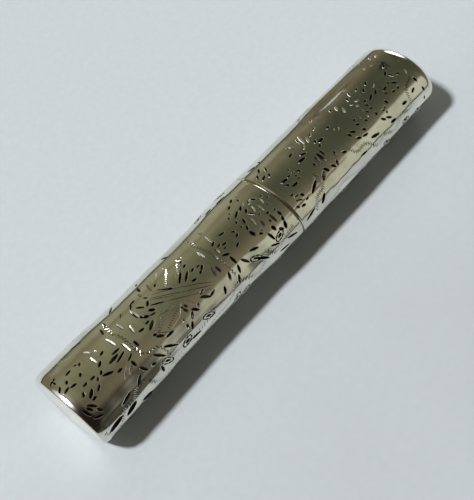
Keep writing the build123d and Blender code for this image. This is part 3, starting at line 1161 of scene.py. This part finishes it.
@dataclass
class RolledSheet:
    """Tube wall of one half: sheet silver, engraved flat and rolled to the oval, in millimetres."""

    name: str
    form: CaseForm
    start: float
    end: float
    wall: float
    mouth_at_end: bool
    engraving: Engraving
    seam: float = 0.3
    rim_radius: float = 0.26
    rim_steps: int = 3
    row: float = 0.55
    column: float = 0.32
    shade_seed: int = 7
    shades: tuple[float, float] = (0.95, 1.0)  # from the palest to the blackest of the tarnished cuts
    # painted shade: how black the bright cuts' walls that face away from the key light are painted
    away_wall_painted_shade: float = 0.97

    def flat_sheet(self) -> bpy.types.Object:
        """Cut the blank: a flat slab with the rim of its mouth rounded over.

        Returns:
            The slab, outer face up at height 0.
        """
        bm = bmesh.new()
        length, across = self.end - self.start, 2 * self.form.half_girth - self.seam
        bmesh.ops.create_grid(
            bm, x_segments=round(length / self.row), y_segments=round(across / self.column), size=0.5
        )
        middle = Matrix.Translation(((self.start + self.end) / 2, 0, 0))
        bmesh.ops.transform(bm, matrix=middle @ Matrix.Diagonal((length, across, 1, 1)), verts=bm.verts)
        bmesh.ops.solidify(bm, geom=bm.faces[:], thickness=self.wall)
        mouth = self.end if self.mouth_at_end else self.start
        rim = [
            edge
            for edge in bm.edges
            if all(abs(v.co.x - mouth) < NEAR and abs(v.co.z) < NEAR for v in edge.verts)
        ]
        bmesh.ops.bevel(
            bm, geom=rim, offset=self.rim_radius, offset_type="OFFSET", segments=self.rim_steps,
            profile=0.5, affect="EDGES", material=-1,
        )
        return object_from(self.name + "_blank", bm)

    def sort_faces(self, mesh: bpy.types.Mesh, flat: np.ndarray) -> dict[str, np.ndarray]:
        """Tell the flat mesh's faces apart by their height and place.

        Args:
            mesh: The engraved flat mesh.
            flat: Its vertices.

        Returns:
            For "cut", "lip" and "inside", True for each face that is one, and each face's middle.
        """
        starts, corners = np.zeros(len(mesh.polygons), int), np.zeros(len(mesh.loops), int)
        mesh.polygons.foreach_get("loop_start", starts)
        mesh.loops.foreach_get("vertex_index", corners)
        low = np.minimum.reduceat(flat[corners], starts)
        high = np.maximum.reduceat(flat[corners], starts)
        inside = high[:, 2] < NEAR - self.wall
        through = low[:, 2] < NEAR - self.wall
        reach = self.rim_radius + NEAR
        rim = high[:, 0] > self.end - reach if self.mouth_at_end else low[:, 0] < self.start + reach
        below = (low[:, 2] < -NEAR) & ~through & ~rim
        lip = below & (high[:, 2] > -NEAR) & (low[:, 2] > -NEAR - self.engraving.lip_depth)
        return {"cut": below & ~lip, "lip": lip, "inside": inside, "middle": (low + high) / 2}

    def tarnish(self, mesh: bpy.types.Mesh, faces: dict[str, np.ndarray]) -> np.ndarray:
        """Work out how black each face is: real tarnish in the cuts, and painted shade on the bright cuts'
        walls that look away from the flat end, away from the key light.

        Args:
            mesh: The engraved flat mesh.
            faces: The sorted faces.

        Returns:
            From 0 to 1, for each face.
        """
        middle = faces["middle"]
        owner = self.engraving.nearest(middle[:, 0], -middle[:, 1])
        chance = np.random.default_rng(self.shade_seed)
        shade = chance.uniform(*self.shades, len(self.engraving.strokes))
        kinds = [stroke.kind for stroke in self.engraving.strokes]
        share = (np.array([kind.value.tarnish for kind in kinds]) * shade)[owner]
        bright = np.array([kind is Cut.BRIGHT for kind in kinds])[owner]
        # painted shade: bright cuts' walls facing away from the flat end and the key light are painted
        # nearly black
        faces_away_from_key_light = np.array([face.normal.x for face in mesh.polygons]) > 0.05
        share[bright & faces_away_from_key_light] = self.away_wall_painted_shade
        return share * faces["cut"]

    def build(self) -> bpy.types.Object:
        """Engrave the flat sheet and roll it up.

        Returns:
            The tube, with the cuts as its second material.
        """
        mesh = self.engraving.cut(self.flat_sheet())
        flat = vertex_places(mesh)
        faces = self.sort_faces(mesh, flat)
        mesh.materials.clear()
        mesh.polygons.foreach_set("material_index", faces["cut"].astype(np.int32))
        # real tarnish in the cuts, plus painted shade on the bright cuts' away walls
        tarnish_and_painted_shade = mesh.attributes.new("tarnish", "FLOAT", "FACE")
        tarnish_and_painted_shade.data.foreach_set("value", self.tarnish(mesh, faces).astype(np.float32))
        mesh.vertices.foreach_set("co", (self.form.roll(flat) * MM).ravel())
        mesh.update()
        mesh.polygons.foreach_set("use_smooth", np.ones(len(mesh.polygons), bool))
        mesh.normals_split_custom_set(self.shading(mesh, flat, faces))
        mesh.name = self.name
        return make_object(self.name, mesh)

    def shading(
        self, mesh: bpy.types.Mesh, flat: np.ndarray, faces: dict[str, np.ndarray]
    ) -> list[Vector]:
        """Work out each corner's normal: smooth on the sheet, crisp in the cuts, rounded at their lips.

        Args:
            mesh: The rolled mesh.
            flat: Its vertices when it was flat.
            faces: The sorted faces.

        Returns:
            One normal for each corner of each face.
        """
        facing = self.form.outward(flat)
        normals = []
        for number, face in enumerate(mesh.polygons):
            own = np.array(face.normal)
            for vertex in face.vertices:
                on_top = flat[vertex, 2] > -NEAR
                if faces["inside"][number]:
                    normals.append(-facing[vertex])
                elif faces["lip"][number] or (on_top and faces["cut"][number]):
                    normals.append(facing[vertex] + own if on_top else own)
                elif on_top and flat[list(face.vertices), 2].min() > -NEAR:
                    normals.append(facing[vertex])
                else:
                    normals.append(own)
        return [Vector(normal).normalized() for normal in normals]


@dataclass
class EndPlate:
    """Flat oval plate that closes the base, filed round along its outer edge, in millimetres."""

    form: CaseForm
    thickness: float
    edge_radius: float = 0.25
    edge_steps: int = 6
    draft: float = 0.2  # how much the filing has narrowed its face, on each side
    hollows: tuple[float, ...] = (0.5, 0.7, 0.8)  # steps in from the edge, each a little deeper
    hollow_depth: float = 0.012
    segments: int = 128

    def build(self) -> bpy.types.Object:
        """Saw out the oval, round its edge and hollow its face very slightly, as wear leaves it.

        Returns:
            The plate.
        """
        bm = bmesh.new()
        bmesh.ops.create_circle(bm, cap_ends=True, segments=self.segments, radius=1)
        rolled = Matrix.Rotation(math.pi / 2, 4, "Y")
        back_width = self.form.flat_end_width / 2 - self.form.worn_end
        back_height = self.form.height / 2 - self.form.worn_end
        face_width, face_height = back_width - self.draft, back_height - self.draft
        size = Matrix.Diagonal((1, face_width, face_height, 1))
        bmesh.ops.transform(bm, matrix=size @ rolled, verts=bm.verts)
        side = bmesh.ops.extrude_face_region(bm, geom=bm.faces[:])["geom"]
        moved = [v for v in side if isinstance(v, bmesh.types.BMVert)]
        bmesh.ops.translate(bm, vec=(self.thickness, 0, 0), verts=moved)
        bmesh.ops.scale(bm, vec=(1, back_width / face_width, back_height / face_height), verts=moved)
        bmesh.ops.recalc_face_normals(bm, faces=bm.faces)
        outer = [e for e in bm.edges if all(abs(v.co.x) < NEAR for v in e.verts)]
        bmesh.ops.bevel(
            bm, geom=outer, offset=self.edge_radius, offset_type="OFFSET", segments=self.edge_steps,
            profile=0.5, affect="EDGES", material=-1,
        )
        face = min(bm.faces, key=lambda f: f.calc_center_median().x)
        for step in self.hollows:
            bmesh.ops.inset_region(bm, faces=[face], thickness=step, depth=-self.hollow_depth)
        return object_in_case("end_plate", bm, 0.0, self.form, sharp_deg=35)


@dataclass
class Sleeve:
    """Thin oval sleeve fixed in the base's mouth, which the lid slides on, in millimetres."""

    form: CaseForm
    start: float
    end: float
    inset: float
    wall: float = 0.35
    lead_in: float = 0.12
    lead_in_steps: int = 2
    segments: int = 144

    def build(self) -> bpy.types.Object:
        """Roll a ring, draw it out to length and ease its leading edges.

        Returns:
            The sleeve.
        """
        bm = bmesh.new()
        half_width = self.form.mouth_width / 2 - self.inset
        half_height = self.form.height / 2 - self.inset
        rolled = Matrix.Rotation(math.pi / 2, 4, "Y")
        rings = []
        for smaller in (0.0, self.wall):
            made = bmesh.ops.create_circle(bm, segments=self.segments, radius=1)["verts"]
            size = Matrix.Diagonal((1, half_width - smaller, half_height - smaller, 1))
            bmesh.ops.transform(bm, matrix=size @ rolled, verts=made)
            rings.append([e for e in bm.edges if e.verts[0] in made])
        ring = bmesh.ops.bridge_loops(bm, edges=rings[0] + rings[1])["faces"]
        grown = bmesh.ops.extrude_face_region(bm, geom=ring)["geom"]
        moved = [v for v in grown if isinstance(v, bmesh.types.BMVert)]
        far = self.end - self.start
        bmesh.ops.translate(bm, vec=(far, 0, 0), verts=moved)
        bmesh.ops.recalc_face_normals(bm, faces=bm.faces)
        leading = [
            e
            for e in bm.edges
            if all(abs(v.co.x - far) < NEAR for v in e.verts)
            and any(abs(f.normal.x) < 0.5 for f in e.link_faces)
        ]
        bmesh.ops.bevel(
            bm, geom=leading, offset=self.lead_in, offset_type="OFFSET", segments=self.lead_in_steps,
            profile=0.5, affect="EDGES", material=-1,
        )
        return object_in_case("sleeve", bm, self.start, self.form, sharp_deg=35)


@dataclass
class RaisedCap:
    """Cap that closes the lid, raised from sheet: rounded shoulder and low crown, in millimetres."""

    form: CaseForm
    wall: float
    skirt: float = 0.5
    shoulder_radius: float = 2.2
    segments: int = 160
    shoulder_steps: int = 14
    crown_steps: int = 14

    def outline(self) -> list[Vector]:
        """Work out the outer half outline, from the joint to the axis.

        Returns:
            Points in the XZ plane, x from the joint and z from the axis.
        """
        radius = self.form.cap_width / 2
        depth = self.form.length - self.form.cap_station - self.skirt
        offset = radius - self.shoulder_radius
        crown = (offset**2 + depth**2 - self.shoulder_radius**2) / (2 * (depth - self.shoulder_radius))
        crown_centre = self.skirt + depth - crown
        steepest = math.atan2(self.skirt - crown_centre, offset)
        points = [Vector((0, 0, radius))]
        for step in range(self.shoulder_steps + 1):
            turn = steepest * step / self.shoulder_steps
            reach = self.shoulder_radius * Vector((math.sin(turn), 0, math.cos(turn)))
            points.append(Vector((self.skirt, 0, offset)) + reach)
        for step in range(1, self.crown_steps + 1):
            turn = steepest + (math.pi / 2 - steepest) * step / self.crown_steps
            points.append(Vector((crown_centre + crown * math.sin(turn), 0, crown * math.cos(turn))))
        return points

    def build(self) -> bpy.types.Object:
        """Spin the outline, flatten it to the oval, thicken it inwards and knock in the shared dents.

        Returns:
            The cap.
        """
        bm = bmesh.new()
        chain = [bm.verts.new(point) for point in self.outline()]
        edges = [bm.edges.new(pair) for pair in zip(chain, chain[1:])]
        bmesh.ops.spin(
            bm, geom=chain + edges, cent=(0, 0, 0), axis=(1, 0, 0), angle=math.tau, steps=self.segments,
            use_merge=True,
        )
        bmesh.ops.remove_doubles(bm, verts=bm.verts, dist=WELD)
        bmesh.ops.scale(bm, vec=(1, 1, self.form.height / self.form.cap_width), verts=bm.verts)
        bmesh.ops.recalc_face_normals(bm, faces=bm.faces)
        if sum(face.normal.dot(face.calc_center_median()) for face in bm.faces) < 0:
            bmesh.ops.reverse_faces(bm, faces=bm.faces)
        for vert in bm.verts:
            turn = math.atan2(-vert.co.y, vert.co.z)
            girth = turn * self.form.half_girth / math.pi
            station = self.form.cap_station + vert.co.x
            wave = self.form.unevenness(np.array([station]), np.array([girth]))
            fade = min(abs(vert.co.y) / 2 + abs(vert.co.z) / 2, 1.0)
            vert.co += vert.normal * float(wave[0]) * fade
        bmesh.ops.solidify(bm, geom=bm.faces[:], thickness=self.wall)
        return object_in_case("end_cap", bm, self.form.cap_station, self.form, sharp_deg=50)


def settle(
    piece: bpy.types.Object,
    body: str,
    stands_for: Iterable[str],
    finish: Iterable[bpy.types.Material],
) -> None:
    """Dress a new piece and give it its place in the frame.

    Args:
        piece: The piece.
        body: CAD body that it moves with.
        stands_for: CAD nodes that it replaces.
        finish: Materials, in the order of the mesh's material indices.
    """
    for material in finish:
        piece.data.materials.append(material)
    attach(piece, body)
    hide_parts(*stands_for)
    log.info("%s: %d faces, rides on %s", piece.name, len(piece.data.polygons), body)


def dress_cad(nodes: Iterable[str], material: bpy.types.Material) -> None:
    """Give CAD nodes that stay in sight their material.

    Args:
        nodes: Names of the nodes.
        material: The material.
    """
    for name in nodes:
        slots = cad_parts[name].data.materials
        slots.clear()
        slots.append(material)
        log.info("%s: CAD piece, dressed in %s", name, material.name)


def stations_of(node: str) -> tuple[float, float]:
    """Read between which stations a CAD node lies.

    Args:
        node: Name of the node.

    Returns:
        Its first and its last station.
    """
    half_length = (cad_box[1].x - cad_box[0].x) / MM / 2
    lowest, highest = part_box(node)
    return lowest.x / MM + half_length, highest.x / MM + half_length


@dataclass
class Finishes:
    """The materials that the two halves share."""

    sheet: bpy.types.Material = field(default_factory=lambda: OldSilver().material())
    cut: bpy.types.Material = field(default_factory=lambda: CutSilver().material())
    solder: bpy.types.Material = field(default_factory=lambda: HardSolder().material())


@dataclass
class BaseHalf:
    """Base: engraved tube, flat end plate, sleeve, and the solder that holds them."""

    form: CaseForm
    finishes: Finishes
    wall: float = 0.5

    def build(self) -> None:
        """Build and dress every piece of the base."""
        start, end = stations_of("base_tube")
        cuts = whole_girth(self.form, base_panel(), base_border(), start, end)
        tube = RolledSheet("base_sheet", self.form, start, end, self.wall, True, Engraving(cuts))
        sheet = [self.finishes.sheet, self.finishes.cut]
        settle(tube.build(), "base", ["base_tube"], sheet)
        plate = EndPlate(self.form, thickness=start).build()
        settle(plate, "base", ["base_end_plate"], sheet[:1])
        sleeve = Sleeve(self.form, *stations_of("inner_sleeve"), self.wall)
        settle(sleeve.build(), "base", ["inner_sleeve"], sheet[:1])
        dress_cad(("base_seam_solder", "end_plate_solder", "sleeve_solder"), self.finishes.solder)


@dataclass
class LidHalf:
    """Lid: engraved tube, raised end cap, and the solder that holds them."""

    form: CaseForm
    finishes: Finishes
    wall: float = 0.45

    def build(self) -> None:
        """Build and dress every piece of the lid."""
        start, end = stations_of("lid_tube")
        cuts = whole_girth(self.form, lid_panel(), lid_border(), start, end)
        tube = RolledSheet("lid_sheet", self.form, start, end, self.wall, False, Engraving(cuts))
        sheet = [self.finishes.sheet, self.finishes.cut]
        settle(tube.build(), "lid", ["lid_tube"], sheet)
        cap = RaisedCap(self.form, wall=self.wall).build()
        settle(cap, "lid", ["lid_end_cap"], sheet[:1])
        dress_cad(("lid_seam_solder", "cap_solder"), self.finishes.solder)


# ------------------------------------------------------------------------------------------------ studio


@dataclass(frozen=True)
class SkyPatch:
    """Soft round patch of the room that the silver reflects."""

    towards: tuple[float, float, float]
    colour: str
    strength: float
    inner_deg: float
    outer_deg: float


@dataclass(frozen=True)
class Studio:
    """Pale tabletop, one small bright key light, and a dim room with lighter and darker parts."""

    ceiling: str = "#77715D"
    skirting: str = "#3A3A30"  # dark foot of the room, just above the table's edge
    skirting_top: tuple[float, float] = (0.03, 0.13)  # sines of the heights where it fades and ends
    patches: tuple[SkyPatch, ...] = (
        SkyPatch((-0.75, -0.10, 0.65), "#574C42", 1.0, 30, 70),  # warm wall beyond the flat end
        SkyPatch((0.19, 0.47, 0.86), "#8C8C70", 1.0, 16, 34),  # pale ceiling overhead
        SkyPatch((0.75, 0.15, 0.65), "#4A4C3D", 1.0, 18, 46),  # dim corner beyond the lid
        SkyPatch((-0.58, 0.44, 0.68), "#E6E8F2", 1.0, 10, 25),  # window glow round the key light
        SkyPatch((-0.42, -0.36, 0.83), "#15131A", 1.0, 17, 28),  # onlooker leaning over the case
        SkyPatch((0.66, 0.44, 0.61), "#15171C", 1.0, 2, 6),  # small dark fitting
        SkyPatch((0.30, 0.91, 0.29), "#96967E", 1.0, 5, 15),  # pale wall, low down
        SkyPatch((0.42, -0.80, 0.43), "#BEC0AE", 1.0, 19, 25),  # bright wall on the near side
        SkyPatch((-0.30, -0.74, 0.60), "#241D1A", 1.0, 26, 38),  # onlooker's dark clothes
        SkyPatch((0.45, -0.61, 0.65), "#5A3B2E", 1.0, 1.5, 4.0),  # brown streak beside the bright wall
        SkyPatch((0.05, -0.95, 0.26), "#3C3A33", 1.0, 8, 19),  # dark furniture, low down
        SkyPatch((0.82, 0.47, 0.30), "#FFFFFF", 3.0, 9, 14),  # lamp that lights the cap's shoulder
    )
    key_towards: tuple[float, float, float] = (-0.47, 0.33, 0.82)
    key_strength: float = 3.1
    key_size_deg: float = 7.5
    table: str = "#C5CDD4"
    table_grain: str = "#D0D7DC"
    # painted shade: colour of the light's fall-off on the table
    table_painted_falloff_shade: str = "#B3B9C0"
    table_roughness: float = 0.7
    painted_falloff_side: tuple[float, float] = (0.02, -0.06)  # metres along Y where the painted shade of the light's fall-off starts and is full
    backdrop: str = "#CBD3D6"
    table_size: float = 3.0
    cloud_mm: float = 55.0
    grain_mm: float = 1.3

    def build(self) -> None:
        """Set up the room, the key light and the tabletop."""
        self.build_room()
        sun = bpy.data.lights.new("key", "SUN")
        sun.energy, sun.angle = self.key_strength, math.radians(self.key_size_deg)
        key = bpy.data.objects.new("key", sun)
        key.rotation_euler = Vector(self.key_towards).to_track_quat("Z", "Y").to_euler()
        bpy.context.scene.collection.objects.link(key)
        bm = bmesh.new()
        bmesh.ops.create_grid(bm, x_segments=4, y_segments=4, size=self.table_size / 2)
        table = object_from("tabletop", bm)
        table.data.materials.append(self.table_material())
        bpy.context.scene.view_settings.view_transform = "Standard"

    def build_room(self) -> None:
        """Paint the room by direction; what the camera sees of it directly is as pale as the table."""
        world = bpy.data.worlds.new("room")
        bpy.context.scene.world = world
        world.use_nodes = True
        tree = world.node_tree
        tree.nodes.clear()
        direction = add_node(tree, "TexCoord").outputs["Generated"]
        colour = None
        for patch in self.patches:
            centre = Vector(patch.towards).normalized()
            nearness = add_node(
                tree, "VectorMath", {"operation": "DOT_PRODUCT"}, i0=direction, i1=centre
            ).outputs["Value"]
            outer, inner = (math.cos(math.radians(angle)) for angle in (patch.outer_deg, patch.inner_deg))
            share = add_node(
                tree, "MapRange", {"interpolation_type": "SMOOTHSTEP"}, Value=nearness, From_Min=outer,
                From_Max=inner,
            ).outputs["Result"]
            shown = [c * patch.strength for c in linear(patch.colour)[:3]] + [1.0]
            under = colour or linear(self.ceiling)
            colour = add_node(tree, "Mix", {"data_type": "RGBA"}, i0=share, i6=under, i7=shown).outputs[2]
        height = add_node(tree, "SeparateXYZ", Vector=direction).outputs["Z"]
        fading, gone = self.skirting_top
        above = add_node(
            tree, "MapRange", {"interpolation_type": "SMOOTHSTEP"}, Value=height, From_Min=fading,
            From_Max=gone,
        ).outputs["Result"]
        colour = add_node(
            tree, "Mix", {"data_type": "RGBA"}, i0=above, i6=linear(self.skirting), i7=colour
        ).outputs[2]
        seen = add_node(tree, "LightPath").outputs["Is Camera Ray"]
        pale = add_node(
            tree, "Mix", {"data_type": "RGBA"}, i0=seen, i6=colour, i7=linear(self.backdrop)
        ).outputs[2]
        background = add_node(tree, "Background", Color=pale)
        add_node(tree, "OutputWorld", Surface=background.outputs["Background"])

    def table_material(self) -> bpy.types.Material:
        """Build the tabletop: matt laminate, printed pale with a fine grain, and painted shade in faint
        clouds towards -Y.

        Returns:
            The material.
        """
        material = bpy.data.materials.new("laminate_matt_pale")
        material.use_nodes = True
        tree = material.node_tree
        shader = tree.nodes["Principled BSDF"]
        shader.inputs["Roughness"].default_value = self.table_roughness
        place = add_node(tree, "TexCoord").outputs["Object"]
        cloud = add_node(
            tree, "TexNoise", Vector=place, Scale=1 / (self.cloud_mm * MM), Detail=3.0
        ).outputs["Fac"]
        grain = add_node(
            tree, "TexNoise", Vector=place, Scale=1 / (self.grain_mm * MM), Detail=4.0
        ).outputs["Fac"]
        plain, grained = linear(self.table), linear(self.table_grain)
        mottled = add_node(
            tree, "Mix", {"data_type": "RGBA"}, i0=grain, i6=plain, i7=grained
        ).outputs[2]
        # painted shade: the light's fall-off, darker towards -Y in faint clouds
        side = add_node(tree, "SeparateXYZ", Vector=place).outputs["Y"]
        fresh, full = self.painted_falloff_side
        worn = add_node(
            tree, "MapRange", {"interpolation_type": "SMOOTHSTEP"}, Value=side, From_Min=fresh,
            From_Max=full,
        ).outputs["Result"]
        painted_falloff_share = add_node(tree, "Math", {"operation": "MULTIPLY"}, i0=worn, i1=cloud).outputs[0]
        tint = add_node(
            tree, "Mix", {"data_type": "RGBA"}, i0=painted_falloff_share, i6=mottled, i7=linear(self.table_painted_falloff_shade)
        ).outputs[2]
        tree.links.new(tint, shader.inputs["Base Color"])
        return material


@dataclass(frozen=True)
class Camera:
    """Camera that looks down along the case from beyond its flat end."""

    place_mm: tuple[float, float, float] = (-59.06, -67.80, 130.03)
    forward: tuple[float, float, float] = (0.35410, 0.43895, -0.82579)
    up: tuple[float, float, float] = (0.67167, 0.49506, 0.55116)
    lens: float = 66.18
    sensor: float = 36.0
    clip: tuple[float, float] = (0.005, 20.0)  # in metres

    def build(self) -> None:
        """Set up the camera and make it the scene's own."""
        data = bpy.data.cameras.new("camera")
        data.lens, data.sensor_width = self.lens, self.sensor
        data.clip_start, data.clip_end = self.clip
        camera = bpy.data.objects.new("camera", data)
        ahead = Vector(self.forward).normalized()
        right = ahead.cross(Vector(self.up)).normalized()
        turned = Matrix((right, right.cross(ahead), -ahead)).transposed().to_4x4()
        camera.matrix_world = Matrix.Translation(Vector(self.place_mm) * MM) @ turned
        bpy.context.scene.collection.objects.link(camera)
        bpy.context.scene.camera = camera


def main() -> None:
    """Build the case and its studio."""
    logging.basicConfig(level=logging.INFO, format="%(message)s")
    form = CaseForm.from_frame()
    finishes = Finishes()
    BaseHalf(form, finishes).build()
    LidHalf(form, finishes).build()
    Studio().build()
    Camera().build()


if __name__ == "__main__":
    main()
